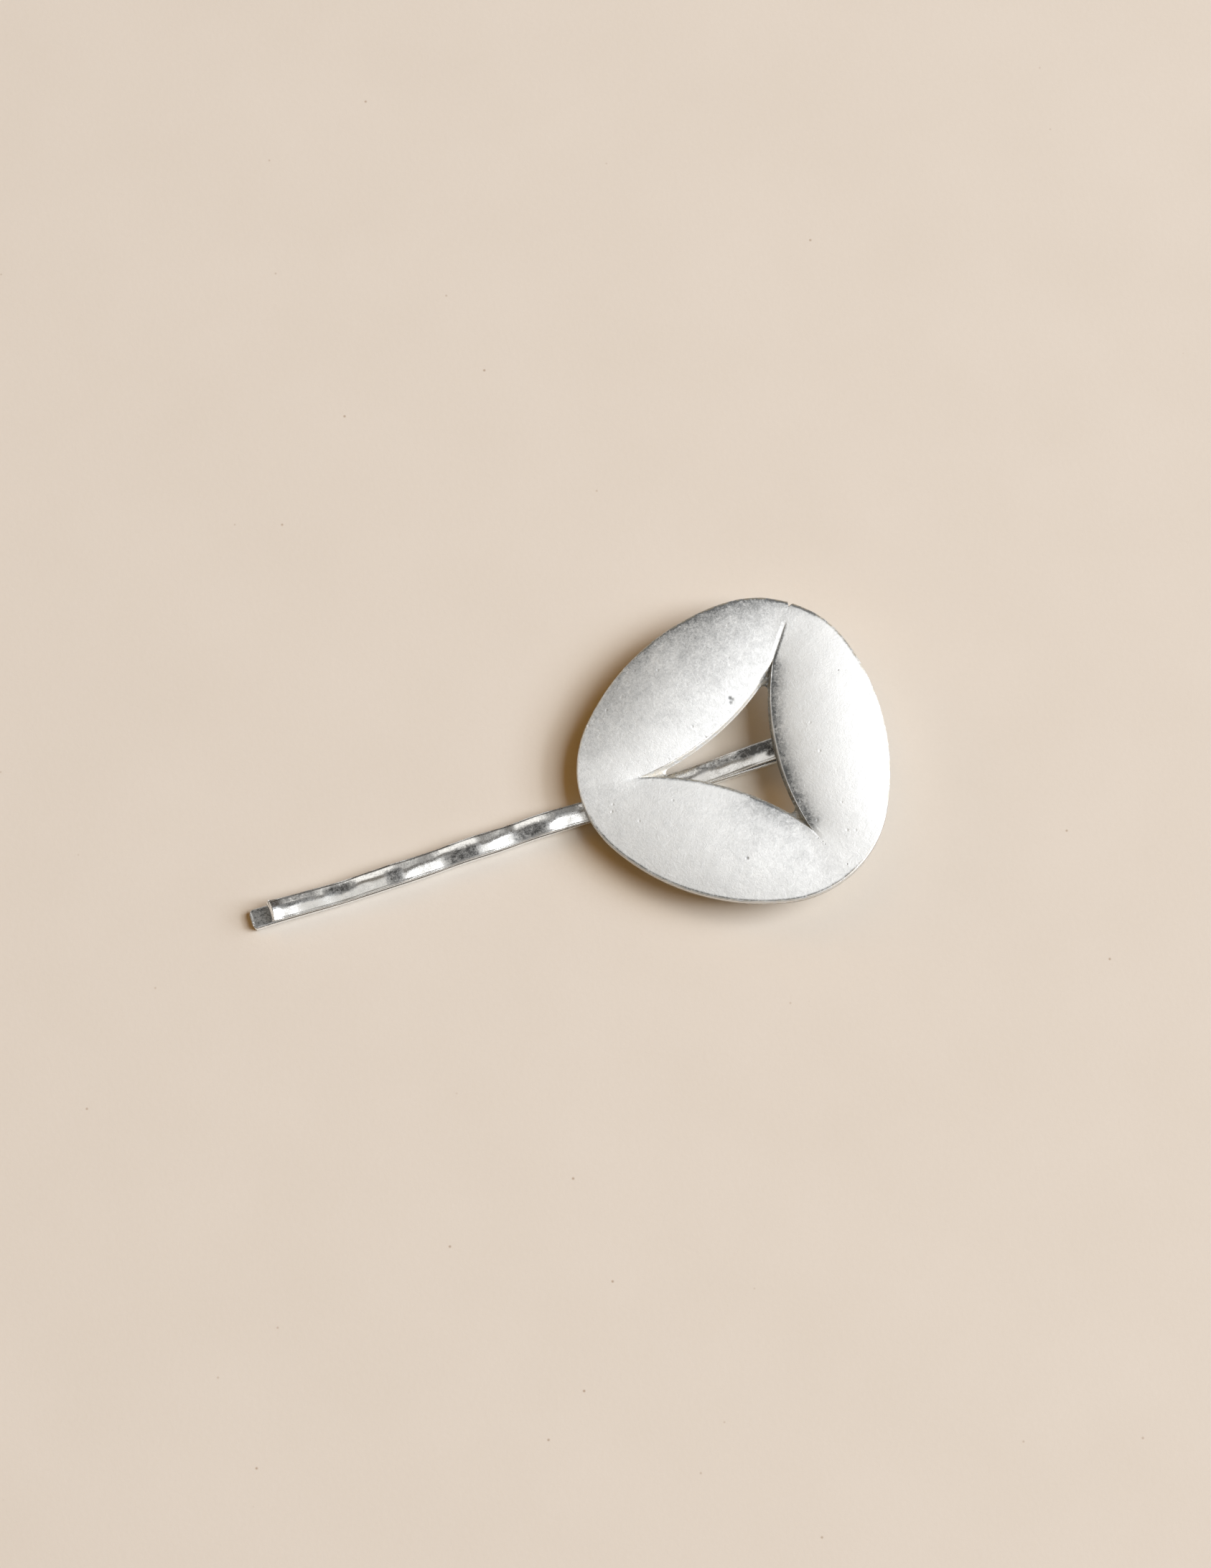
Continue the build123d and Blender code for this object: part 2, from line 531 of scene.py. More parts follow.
def grid_faces(rows: int, columns: int, closed_rows: bool) -> Array:
    """Quads of a grid whose columns run round a closed ring.

    Vertex number row * columns + column. Each quad joins a column to the next and a row to the
    next; the last column joins the first, and the last row the first when closed_rows is set.

    Args:
        rows: number of rings.
        columns: number of points in a ring.
        closed_rows: whether the last ring joins the first.

    Returns:
        An array of four vertex numbers for each quad.
    """
    lines = np.arange(rows if closed_rows else rows - 1)[:, None] * columns
    below = (lines + columns) % (rows * columns)
    spots = np.arange(columns)[None, :]
    after = (spots + 1) % columns
    corners = [lines + spots, lines + after, below + after, below + spots]
    return np.stack(corners, axis=-1).reshape(-1, 4)


def cap_faces(ring: Array, centre: int, flipped: bool) -> Array:
    """Triangles that join a closed ring of vertices to one centre vertex.

    Args:
        ring: the ring's vertex numbers.
        centre: the centre's vertex number.
        flipped: whether the triangles run against the ring.

    Returns:
        An array of three vertex numbers for each triangle.
    """
    after = np.roll(ring, -1)
    pair = (after, ring) if flipped else (ring, after)
    return np.stack([*pair, np.full_like(ring, centre)], axis=-1)


def end_caps(rows: int, columns: int) -> Array:
    """Both caps of an open grid whose cap centres are the two vertices after it."""
    first, last = np.arange(columns), np.arange(columns) + (rows - 1) * columns
    centre = rows * columns
    return np.concatenate([cap_faces(first, centre, True), cap_faces(last, centre + 1, False)])


def new_piece(
    name: str,
    points_mm: Array,
    quads: Array,
    triangles: Array | None = None,
    marks: Mapping[Mark, Array] | None = None,
) -> bpy.types.Object:
    """Puts whole arrays of points and faces into a new smooth-shaded mesh object.

    Args:
        name: the piece's name.
        points_mm: one row of x, y, z for each vertex, in millimetres.
        quads: four vertex numbers for each quad.
        triangles: three vertex numbers for each triangle.
        marks: a number for each vertex, by mark.

    Returns:
        The object, at the origin, with its place in its mesh.
    """
    faces = quads.tolist() + ([] if triangles is None else triangles.tolist())
    mesh = bpy.data.meshes.new(name)
    mesh.from_pydata((points_mm * MM).tolist(), [], faces)
    for mark, values in (marks or {}).items():
        layer = mesh.attributes.new(mark.value, "FLOAT", "POINT")
        layer.data.foreach_set("value", np.asarray(values, np.float32).ravel())
    mesh.polygons.foreach_set("use_smooth", np.ones(len(mesh.polygons), bool))
    mesh.update()
    made = bpy.data.objects.new(name, mesh)
    bpy.context.scene.collection.objects.link(made)
    return made


def dress(piece: bpy.types.Object, material: bpy.types.Material, node: str) -> None:
    """Gives a piece its finish, hangs it under the root body and hides the CAD node that it takes
    the place of.

    Args:
        piece: the piece.
        material: its finish.
        node: the CAD node that it takes the place of.
    """
    piece.data.materials.append(material)
    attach(piece, "root")
    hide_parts(node)


# The disc


@dataclass(frozen=True)
class Band:
    """A darkened band of the disc's face, along its rim or along one lobe's inner edge; the broad
    ones are painted shade.

    Its strength follows its arc of headings, and it falls with the distance d from that edge as
    exp(-(|d - offset| / reach)^power). It can end at the opening's corners.
    """

    strength: float
    arc: Arc
    reach: float
    power: float = 2.0
    offset: float = 0.0
    lobe: Lobe | None = None
    beside_opening: bool = False


OFF_FACE = -1.0
ALL_ROUND = Arc(0.0, 180.0, 1.0)
# Where the inner edge is rolled over, and where the wall under it is left out of the painted shade
# of the opening's walls.
ROLLED_EDGE = Arc(113.0, 53.0, 7.0)
BRIGHT_WALL = Arc(115.5, 56.5, 5.0)
# Where shade is painted on the face: its side away from the lamps, and the upper-left lobe's part
# towards the back.
SHADED_SIDE = Arc(190.0, 70.0, 70.0)
SHADED_TOP = Arc(90.0, 38.0, 25.0)
# Fine lines, and where the rim shows its brass.
INNER_LINE = Arc(228.0, 55.0, 10.0)
LOWER_RIM = Arc(240.0, 48.0, 15.0)
UPPER_RIM = Arc(66.0, 38.0, 20.0)
BRASSY_RIMS = (Arc(128.0, 25.0, 15.0), Arc(0.0, 38.0, 12.0))
NOTCH_HEADING = 53.4
NOTCH_WALL = Arc(NOTCH_HEADING, 1.2, 0.6)
# Painted shade: broad bands along the rim and along the inner edges; then fine dark lines along the
# edges, the last one painted shade on the notch's bevels.
BANDS = (
    Band(0.56, Arc(82.0, 46.0), 3.2, power=1.0),
    Band(0.24, Arc(146.0, 62.0), 3.2, power=1.0),
    Band(0.42, Arc(88.0, 25.0, 30.0), 0.45, power=1.0),
    Band(0.9, ALL_ROUND, 0.95, power=1.5, lobe=Lobe.RIGHT, beside_opening=True),
    Band(0.28, Arc(280.0, 40.0), 1.2, lobe=Lobe.LOWER, beside_opening=True),
    Band(0.1, Arc(268.0, 50.0), 4.5, lobe=Lobe.LOWER),
    Band(0.6, INNER_LINE, 0.14, lobe=Lobe.LOWER, beside_opening=True),
    Band(0.9, LOWER_RIM, 0.09, offset=0.17),
    Band(0.8, UPPER_RIM, 0.12, offset=0.08),
    # Painted shade on the notch's bevels, which face away from the lamps.
    Band(0.8, Arc(52.5, 8.0, 2.0), 0.12, offset=0.22),
)


@dataclass
class Rings:
    """Rings of a closed profile round the disc: how far out and how high their points are."""

    columns: int
    distances: list[Array] = field(default_factory=list)
    heights: list[Array] = field(default_factory=list)
    shares: list[float] = field(default_factory=list)

    def add(self, distance: Array, height: Array | float, share: float = OFF_FACE) -> None:
        """Adds one ring.

        Args:
            distance: distance of its points from the disc's axis.
            height: height of its points over the underside.
            share: its place across the face, from 0 to 1, or OFF_FACE.
        """
        self.distances.append(np.broadcast_to(distance, (self.columns,)))
        self.heights.append(np.broadcast_to(height, (self.columns,)))
        self.shares.append(share)


@dataclass
class PetalDisc:
    """The cast disc: three crowned lobes round a curved-triangle opening."""

    plane: Tilted
    edge_height: float = 0.9
    crown_radius: float = 16.5
    corner_distance: float = 15.8
    corner_radius: float = 10.5
    side_radius: float = 21.9
    side_offset: float = 7.785
    first_heading: float = 53.6
    rim_inset: float = 0.03
    rim_waviness: float = 0.015
    edge_round: float = 0.1
    # Reach and heading of each corner of the opening, and the reach of each side's middle.
    opening_corners: tuple[tuple[float, float], ...] = ((10.1, 52.6), (9.9, 173.5), (10.2, 293.8))
    opening_sides: tuple[float, ...] = (3.376, 3.55, 3.48)
    web_inset: float = 0.27
    web_height: float = 0.35
    web_corner_radius: float = 0.45
    # Reach and depth of the groove that runs out from each corner of the opening.
    grooves: tuple[tuple[float, float], ...] = ((14.0, 0.12), (11.6, 0.08), (11.6, 0.07))
    groove_flanks: tuple[float, float] = (0.36, 0.16)
    # Width of the crease between two lobes, and where and how far it widens towards the rim.
    crease_width: float = 0.05
    crease_widening: float = 5.0
    crease_fade: tuple[float, float] = (7.9, 5.6)
    first_crease_extra: float = 2.0
    unevenness: float = 0.012
    lip_height: float = 0.035
    lip_width: float = 0.13
    notch_half_width: float = 0.25
    notch_depth: float = 0.45
    notch_bevel: float = 0.16
    notch_bevel_width: float = 0.3
    notch_bevel_end: tuple[float, float] = (1.6, 2.6)
    columns: int = 900
    face_rings: int = 58
    # Small steps of the profile: at the opening's foot, the web's top and the rim's foot, then
    # how far out and down the inner edge's rings lie, and how far in the face's first rings do.
    foot_chamfer: float = 0.06
    web_chamfer: float = 0.04
    rim_chamfer: float = 0.12
    edge_steps: tuple[tuple[float, float], ...] = ((-0.004, 0.07), (0.006, 0.02))
    face_start: float = 0.03
    first_steps: tuple[float, ...] = (0.03, 0.07, 0.12)
    # Below the first height lies the underside, and above the second an edge is rubbed bright.
    wall_heights: tuple[float, float] = (0.02, 0.7)
    # Where the marks beside the opening end, at its corners.
    opening_marks_end: tuple[float, float] = (9.2, 10.8)
    # The line of painted shade on the first groove's flank away from the lamps: its place beside
    # the heading and its width, and its end.
    groove_line: tuple[float, float] = (-0.16, 0.13)
    groove_line_end: tuple[float, float] = (12.2, 14.0)
    groove_shade: float = 0.8
    clean_tarnish: float = 0.03
    # How dark the shade is that is painted on the face's side away from the lamps.
    side_shade: float = 0.06
    # Painted shade on the opening's walls, and how little of it is left where they stay bright.
    inner_wall_shade: float = 0.9
    bright_wall_shade: float = 0.05
    rim_wall_tarnish: float = 0.55
    underside_tarnish: float = 0.22
    underside_warmth: float = 0.5
    wall_warmth: float = 0.25
    rim_warmth: float = 0.9

    def headings(self) -> Array:
        """Headings of the columns, crowded where two lobes meet.

        Their density is 1 + 9 exp(-(g / 1.1)^2) + 1.8 exp(-(g / 6)^2) with g the degrees to a
        corner of the opening, and its running sum is cut into equal shares.

        Returns:
            The headings in radians.
        """
        around = np.linspace(0.0, 360.0, 20000, endpoint=False)
        weight = np.ones_like(around)
        for _, corner in self.opening_corners:
            gap = np.degrees(turn_from(np.radians(around), corner))
            weight += 9.0 * hump(gap, 0.0, 1.1) + 1.8 * hump(gap, 0.0, 6.0)
        share = np.cumsum(weight)
        wanted = (np.arange(self.columns) + 0.5) / self.columns * share[-1]
        return np.radians(np.interp(wanted, share, around))

    def rim(self, heading: Array) -> Array:
        """Outline: a ray's way from the middle to the corner circle or side circle that it meets.

        A ray at heading t leaves a circle with centre distance c and heading h at
        c cos(t - h) + sqrt(r^2 - c^2 sin^2(t - h)). The side circles have their centres behind the
        middle. A corner arc holds between its two touching points, and a side arc elsewhere.

        Args:
            heading: headings in radians.

        Returns:
            Distance of the rim along each heading.
        """
        best = np.full(heading.shape, np.inf)
        offset = self.corner_distance - self.corner_radius
        for number in range(len(Lobe)):
            turn = turn_from(heading, self.first_heading + 60.0 + 120.0 * number)
            root = self.side_radius**2 - (self.side_offset * np.sin(turn)) ** 2
            reach = -self.side_offset * np.cos(turn) + np.sqrt(root)
            best = np.where(np.cos(turn) > 0.5, np.minimum(best, reach), best)
        touch = self._touch_angle()
        for number in range(len(Lobe)):
            turn = turn_from(heading, self.first_heading + 120.0 * number)
            root = np.maximum(self.corner_radius**2 - (offset * np.sin(turn)) ** 2, 0.0)
            reach = offset * np.cos(turn) + np.sqrt(root)
            best = np.where(np.abs(turn) < touch, reach, best)
        return best

    def _touch_angle(self) -> float:
        """Angle at the middle between a corner's heading and the end of its arc.

        The arcs touch where the line from the side circle's centre through the corner circle's
        centre meets the side circle.

        Returns:
            The angle in radians.
        """
        centre = np.array([self.corner_distance - self.corner_radius, 0.0])
        half = math.radians(60.0)
        side = -self.side_offset * np.array([math.cos(half), math.sin(half)])
        towards = centre - side
        touch = side + towards / np.linalg.norm(towards) * self.side_radius
        return math.atan2(abs(touch[1]), touch[0])

    def edge_circles(self) -> list[tuple[Array, float]]:
        """Circle of each lobe's inner edge, through two corners a, c and a side's middle b.

        Its centre m solves 2 (b - a) . m = b.b - a.a and 2 (c - a) . m = c.c - a.a.

        Returns:
            Centre and radius for each lobe.
        """
        circles = []
        for number, side in enumerate(self.opening_sides):
            r1, h1 = self.opening_corners[number]
            r2, h2 = self.opening_corners[(number + 1) % len(Lobe)]
            h2 = h2 if h2 > h1 else h2 + 360.0
            ends = ((r1, h1), (side, (h1 + h2) / 2.0), (r2, h2))
            a, b, c = (
                np.array([r * math.cos(math.radians(h)), r * math.sin(math.radians(h))])
                for r, h in ends
            )
            matrix = 2.0 * np.array([b - a, c - a])
            centre = np.linalg.solve(matrix, np.array([b @ b - a @ a, c @ c - a @ a]))
            circles.append((centre, float(np.linalg.norm(centre - a))))
        return circles

    def opening(self, heading: Array, inset: float) -> Array:
        """Distance along each heading to the opening's edge, set in towards the middle.

        A ray meets the near side of a circle with centre c and radius r at
        c . u - sqrt(r^2 - (c x u)^2); an inset edge has a larger circle. The nearest one counts.

        Args:
            heading: headings in radians.
            inset: how far the edge is set in.

        Returns:
            A distance for each heading.
        """
        best = np.full(heading.shape, np.inf)
        ux, uy = np.cos(heading), np.sin(heading)
        for centre, radius in self.edge_circles():
            along = centre[0] * ux + centre[1] * uy
            beside = centre[0] * uy - centre[1] * ux
            root = (radius + inset) ** 2 - beside**2
            hit = along - np.sqrt(np.maximum(root, 0.0))
            best = np.where((root > 0.0) & (along > 0.0), np.minimum(best, hit), best)
        return best

    def rounded_opening(self, heading: Array) -> Array:
        """The through opening: the inset edge with its three corners rounded off.

        A corner's round has its middle at one radius from both inset edges, and holds between the
        two headings where it touches them.

        Args:
            heading: headings in radians.

        Returns:
            Distance of the opening's wall along each heading.
        """
        edge = self.opening(heading, self.web_inset)
        circles = self.edge_circles()
        radius = self.web_corner_radius
        reach = self.web_inset + radius
        for number, (_, corner) in enumerate(self.opening_corners):
            (c1, r1), (c2, r2) = circles[number - 1], circles[number]
            middle = self._meeting(c1, r1 + reach, c2, r2 + reach)
            ends = [middle + (c - middle) / np.linalg.norm(c - middle) * radius for c in (c1, c2)]
            limits = [turn_from(math.atan2(end[1], end[0]), corner) for end in ends]
            turn = turn_from(heading, corner)
            ux, uy = np.cos(heading), np.sin(heading)
            along = middle[0] * ux + middle[1] * uy
            beside = middle[0] * uy - middle[1] * ux
            root = np.maximum(radius**2 - beside**2, 0.0)
            inside = (turn > min(limits)) & (turn < max(limits))
            edge = np.where(inside, along + np.sqrt(root), edge)
        return edge

    @staticmethod
    def _meeting(c1: Array, r1: float, c2: Array, r2: float) -> Array:
        """The point nearer to the disc's middle where two circles cross.

        It lies (r1^2 - r2^2 + d^2) / (2 d) along the line of the centres, which are d apart, and
        to one side of it.

        Args:
            c1: centre of the first circle.
            r1: its radius.
            c2: centre of the second circle.
            r2: its radius.

        Returns:
            The point.
        """
        gap = c2 - c1
        length = float(np.linalg.norm(gap))
        along = (r1**2 - r2**2 + length**2) / (2.0 * length)
        aside = math.sqrt(max(r1**2 - along**2, 0.0))
        foot = c1 + gap * along / length
        normal = np.array([-gap[1], gap[0]]) / length
        return min((foot + normal * aside, foot - normal * aside), key=lambda p: float(p @ p))

    def reaches(self, heading: Array, distance: Array) -> Array:
        """Distance of each point inside each lobe's inner edge: radius - |p - centre|.

        Args:
            heading: heading of each point.
            distance: distance of each point from the middle.

        Returns:
            A distance for each lobe and point, above 0 on the lobe.
        """
        x, y = distance * np.cos(heading), distance * np.sin(heading)
        circles = self.edge_circles()
        return np.array([radius - np.hypot(x - c[0], y - c[1]) for c, radius in circles])

    def crown(self, heading: Array, distance: Array, rim: Array) -> Array:
        """Height of the crowned face over its edges.

        It is d1 * d2 / (2 R), with d1 the distance from a lobe's inner edge, d2 the distance from
        the rim and R the crown's radius, which is an arc's height over its chord. d1 is the soft
        maximum of the lobes' own: m + (w / 4) (1 - (m - n) / w)^2 for the two largest, m and n. The
        width w grows towards the rim, so that the crease between two lobes fades out there.

        Args:
            heading: heading of each point.
            distance: distance of each point from the middle.
            rim: distance of the rim along each heading.

        Returns:
            A height for each point.
        """
        ordered = np.sort(self.reaches(heading, distance), axis=0)
        first_crease = Arc(self.first_heading, 25.0, 40.0).share(heading)
        start = self.crease_fade[0] + self.first_crease_extra * first_crease
        fade = smooth_step(distance, start, start + self.crease_fade[1])
        width = self.crease_width + self.crease_widening * fade
        near = np.maximum(1.0 - (ordered[-1] - ordered[-2]) / width, 0.0)
        inner = np.maximum(ordered[-1] + 0.25 * width * near**2, 0.0)
        return inner * np.maximum(rim - distance, 0.0) / (2.0 * self.crown_radius)

    def crease(self, heading: Array, distance: Array) -> Array:
        """Depth of the thin groove that is cut along each meeting of two lobes.

        Across, it falls along one straight flank and rises along a steeper one; along its length
        it fades out before the rim.

        Args:
            heading: heading of each point.
            distance: distance of each point from the middle.

        Returns:
            A depth for each point.
        """
        depth = np.zeros_like(distance)
        wide, narrow = self.groove_flanks
        for (_, corner), (reach, cut) in zip(self.opening_corners, self.grooves):
            turn = turn_from(heading, corner)
            side = distance * np.sin(turn)
            flank = np.where(side > 0.0, 1.0 - side / wide, 1.0 + side / narrow)
            fade = 1.0 - smooth_step(distance, reach - 1.2, reach)
            depth += np.clip(flank, 0.0, 1.0) * fade * (np.cos(turn) > 0.9) * cut
        return depth

    def face(self, heading: Array, distance: Array, rim: Array, edge: Array) -> Array:
        """Height of the upper face over the underside.

        It is the edge's height plus the crown, less the grooves, plus an unevenness that dies out
        at both edges, and a thin raised lip along the inner edges that aren't rolled over.

        Args:
            heading: heading of each point.
            distance: distance of each point from the middle.
            rim: distance of the rim along each heading.
            edge: distance of the opening's edge along each heading.

        Returns:
            A height for each point.
        """
        x, y = distance * np.cos(heading), distance * np.sin(heading)
        fade = smooth_step(rim - distance, 0.0, 2.0) * smooth_step(distance - edge, 0.0, 1.5)
        uneven = self.unevenness * ripple(x, y, (6.1, 3.7, 8.3)) * fade
        sharp = 1.0 - ROLLED_EDGE.share(heading)
        lip = self.lip_height * sharp * np.clip(1.0 - (distance - edge) / self.lip_width, 0.0, 1.0)
        height = self.edge_height + self.crown(heading, distance, rim)
        return height - self.crease(heading, distance) + uneven + lip

    def _opening_rings(self, rings: Rings, heading: Array, edge: Array, through: Array) -> None:
        """Adds the rings that go up the opening's wall: the web's edge, its top, and the wall.

        The wall rises from the web to the edge as a straight draft, or as a quarter of a sine
        where the edge is rolled over.

        Args:
            rings: the profile so far.
            heading: heading of each column.
            edge: distance of the opening's upper edge along each heading.
            through: distance of the through opening's wall along each heading.
        """
        web = self.web_height
        foot = np.maximum(self.opening(heading, self.web_inset), through + 0.01)
        rings.add(through, self.foot_chamfer)
        rings.add(through, web - self.web_chamfer)
        rings.add(through + 0.3 * (foot - through), web)
        rings.add(foot, web)
        rolled = ROLLED_EDGE.share(heading)
        for share in (0.15, 0.5, 0.8):
            rise = share + rolled * (math.sin(share * math.pi / 2.0) - share)
            rings.add(foot + share * (edge - foot), web + rise * (self.edge_height - web))

    def _face_rings(self, rings: Rings, heading: Array, edge: Array, rim: Array) -> None:
        """Adds the rings that cross the face and round its outer edge.

        The rings lie at (1 - cos) / 2 of an even angle, so they are closest at both edges.

        Args:
            rings: the profile so far.
            heading: heading of each column.
            edge: distance of the opening's upper edge along each heading.
            rim: distance of the rim along each heading.
        """
        inner_start, outer_end = edge + self.face_start, rim - self.edge_round
        edge_top = self.face(heading, inner_start, rim, edge)
        for out, down in self.edge_steps:
            rings.add(edge + out, edge_top - down)
        for step in self.first_steps[:-1]:
            distance = inner_start + step
            rings.add(distance, self.face(heading, distance, rim, edge), 0.0)
        inner_start = inner_start + self.first_steps[-1]
        eased = 0.5 - 0.5 * np.cos(math.pi * np.linspace(0.06, 0.94, self.face_rings))
        for share in (eased - eased[0]) / (eased[-1] - eased[0]):
            distance = inner_start + share * (outer_end - inner_start)
            rings.add(distance, self.face(heading, distance, rim, edge), float(share))
        rim_top = self.face(heading, outer_end, rim, edge)
        for turn in (0.35, 0.7, 1.0):
            out, down = math.sin(turn * math.pi / 2.0), 1.0 - math.cos(turn * math.pi / 2.0)
            rings.add(outer_end + self.edge_round * out, rim_top - self.edge_round * down)
        rings.add(rim + 0.01, 0.5 * rim_top)

    def build(self) -> list[bpy.types.Object]:
        """Carries one closed profile round the disc, and dresses the casting.

        The profile goes up the opening's wall, out over the crowned face, down the rim and back
        along the flat underside.

        Returns:
            The casting.
        """
        heading = self.headings()
        waves = ripple(heading * 15.0, heading * 4.0, (9.0, 4.0, 2.3))
        rim = self.rim(heading) - self.rim_inset + self.rim_waviness * waves
        edge = self.opening(heading, 0.0)
        through = self.rounded_opening(heading)
        rings = Rings(len(heading))
        inner_foot, outer_foot = through + self.foot_chamfer, rim - self.rim_chamfer
        rings.add(inner_foot, 0.0)
        self._opening_rings(rings, heading, edge, through)
        self._face_rings(rings, heading, edge, rim)
        rings.add(rim, self.rim_chamfer)
        rings.add(rim - 0.25 * self.rim_chamfer, 0.25 * self.rim_chamfer)
        rings.add(outer_foot, 0.0)
        for share in (0.3, 0.7):
            rings.add(outer_foot + share * (inner_foot - outer_foot), 0.0)
        distance, height = self._cut_notch(
            heading, np.array(rings.distances), np.array(rings.heights), rim
        )
        x, y = distance * np.cos(heading), distance * np.sin(heading)
        marks = self._marks(heading, distance, height, rim, edge, np.array(rings.shares))
        casting = new_piece(
            "disc_casting",
            self.plane.lift(x, y, height).reshape(-1, 3),
            grid_faces(len(rings.shares), len(heading), True),
            marks=marks,
        )
        dress(casting, CastSilver(self.plane).material(), "petal_disc")
        return [casting]

    def _cut_notch(
        self, heading: Array, distance: Array, height: Array, rim: Array
    ) -> tuple[Array, Array]:
        """Draws the rim in to a small V at the first corner, with a narrow bevel each side.

        The V is a triangle in plan. The bevel lowers a narrow strip of the face along the rim.

        Args:
            heading: heading of each column.
            distance: distance of each point from the middle, rings by columns.
            height: height of each point over the underside.
            rim: distance of the rim along each heading.

        Returns:
            The new distances and heights.
        """
        turn = turn_from(heading, NOTCH_HEADING)
        side = np.abs(rim * np.sin(turn)) + 10.0 * (np.cos(turn) < 0.9)
        inward = np.clip(1.0 - side / self.notch_half_width, 0.0, 1.0) * self.notch_depth
        near_rim = smooth_step(distance, rim - 1.2, rim - 0.1)
        distance = distance - inward * near_rim
        outermost = smooth_step(distance, rim - self.notch_bevel_width, rim - 0.02)
        bevel = (1.0 - smooth_step(side, *self.notch_bevel_end)) * outermost
        height = height - self.notch_bevel * bevel * (height > 0.6)
        return distance, height

    def _marks(
        self, heading: Array, distance: Array, height: Array, rim: Array, edge: Array, share: Array
    ) -> dict[Mark, Array]:
        """Tarnish and painted shade, warm metal and wear for each point, from where it lies on the
        casting.

        On the face the dark mark is a low ground, painted shade on the side away from the lamps,
        the bands and a line of painted shade in the first groove. The walls, painted in shade in
        the opening except under the rolled edge, and the underside have their own. Warm metal and
        wear run along the edges.

        Args:
            heading: heading of each column.
            distance: distance of each point from the middle, rings by columns.
            height: height of each point over the underside.
            rim: distance of the rim along each heading.
            edge: distance of the opening's edge along each heading.
            share: place of each ring across the face, below 0 off the face.

        Returns:
            An array of numbers for each mark, rings by columns.
        """
        out = np.maximum(rim - distance, 0.0)
        on_face = (share >= 0.0)[:, None] & (distance >= edge)
        reaches = self.reaches(heading, distance)
        lobe = np.argmax(reaches, axis=0)
        beside = 1.0 - smooth_step(distance, *self.opening_marks_end)
        # Painted shade on the side away from the lamps and on the upper-left lobe's back part,
        # fading near that lobe's inner edge.
        upper_left = lobe == Lobe.UPPER_LEFT
        away = np.where(upper_left, smooth_step(reaches[Lobe.UPPER_LEFT], 1.5, 5.0), 1.0)
        shade_share = SHADED_SIDE.share(heading) * away + SHADED_TOP.share(heading) * upper_left
        shade = self.clean_tarnish + self.side_shade * shade_share
        # Bands of painted shade, and fine dark lines along the edges.
        for band in BANDS:
            gap = out if band.lobe is None else reaches[band.lobe]
            on_lobe = 1.0 if band.lobe is None else lobe == band.lobe
            where = band.arc.share(heading) * on_lobe * (beside if band.beside_opening else 1.0)
            shade = shade + band.strength * where * hump(gap, band.offset, band.reach, band.power)
        # A line of painted shade along the first groove, on its flank away from the lamps.
        turn = turn_from(heading, self.opening_corners[0][1])
        groove = hump(distance * np.sin(turn), *self.groove_line) * (np.cos(turn) > 0.9)
        groove_end = 1.0 - smooth_step(distance, *self.groove_line_end)
        shade = shade + self.groove_shade * groove * groove_end
        under, high = height < self.wall_heights[0], height > self.wall_heights[1]
        # The opening's walls are painted dark as shade, except under the rolled edge.
        brightening = self.bright_wall_shade - self.inner_wall_shade
        wall = self.inner_wall_shade + brightening * BRIGHT_WALL.share(heading)
        darkening = 1.0 - self.rim_wall_tarnish
        rim_wall = self.rim_wall_tarnish + darkening * NOTCH_WALL.share(heading)
        wall = np.where(distance > edge + 1.0, rim_wall, wall)
        tarnish_and_shade = np.where(on_face, shade, np.where(under, self.underside_tarnish, wall))
        off_face = np.where(under, self.underside_warmth, self.wall_warmth)
        warm = np.where(on_face, self.rim_warmth * hump(out, 0.0, 0.12), off_face)
        inner_line = INNER_LINE.share(heading) * beside * (lobe == Lobe.LOWER)
        edge_glint = hump(distance - edge, 0.04, 0.1) * high * (1.0 - inner_line)
        brassy = sum(arc.share(heading) for arc in BRASSY_RIMS)
        plated = (1.0 - UPPER_RIM.share(heading)) * (1.0 - 0.8 * brassy)
        rim_glint = hump(out, 0.0, 0.1) * high * plated
        worn = np.maximum(edge_glint, rim_glint)
        return {Mark.TARNISH_AND_SHADE: tarnish_and_shade, Mark.WARM: warm, Mark.WORN: worn}


# The pin


@dataclass(frozen=True)
class DarkPatch:
    """A dark patch of the upper leg: its place from the tip, its reaches, and its strength.

    Place and half width across the strip are shares of half the strip's width, +1 the edge at
    the back of the picture.
    """

    x: float
    reach_west: float
    reach_east: float
    across: float
    half_width: float
    strength: float


# Dark patches of the upper leg. The one at 34.2 mm is painted shadow of the disc's rim, and the
# last three are painted shade under the disc's opening.
DARK_PATCHES = (
    DarkPatch(4.6, 1.9, 2.3, 0.12, 0.26, 0.75),
    DarkPatch(5.0, 2.0, 2.1, 0.75, 0.42, 0.55),
    DarkPatch(9.3, 2.1, 1.3, 0.22, 0.52, 0.85),
    DarkPatch(12.9, 1.6, 1.6, -0.6, 0.42, 0.14),
    DarkPatch(14.5, 1.1, 0.7, -0.25, 0.8, 0.85),
    DarkPatch(17.2, 2.3, 2.2, 0.6, 0.55, 0.3),
    DarkPatch(19.7, 0.5, 0.9, -0.1, 0.45, 0.7),
    DarkPatch(21.7, 2.6, 1.3, -0.35, 0.7, 0.85),
    DarkPatch(24.8, 1.9, 1.7, 0.6, 0.55, 0.3),
    DarkPatch(28.5, 2.5, 1.4, -0.35, 0.7, 0.85),
    DarkPatch(31.6, 2.1, 2.1, 0.55, 0.55, 0.5),
    DarkPatch(34.2, 0.8, 1.0, 0.0, 1.2, 0.5),
    DarkPatch(47.4, 3.2, 2.2, 0.45, 0.5, 0.65),
    DarkPatch(50.9, 2.4, 2.4, 0.42, 0.62, 1.0),
    DarkPatch(52.3, 0.7, 0.9, -0.25, 0.4, 0.9),
)


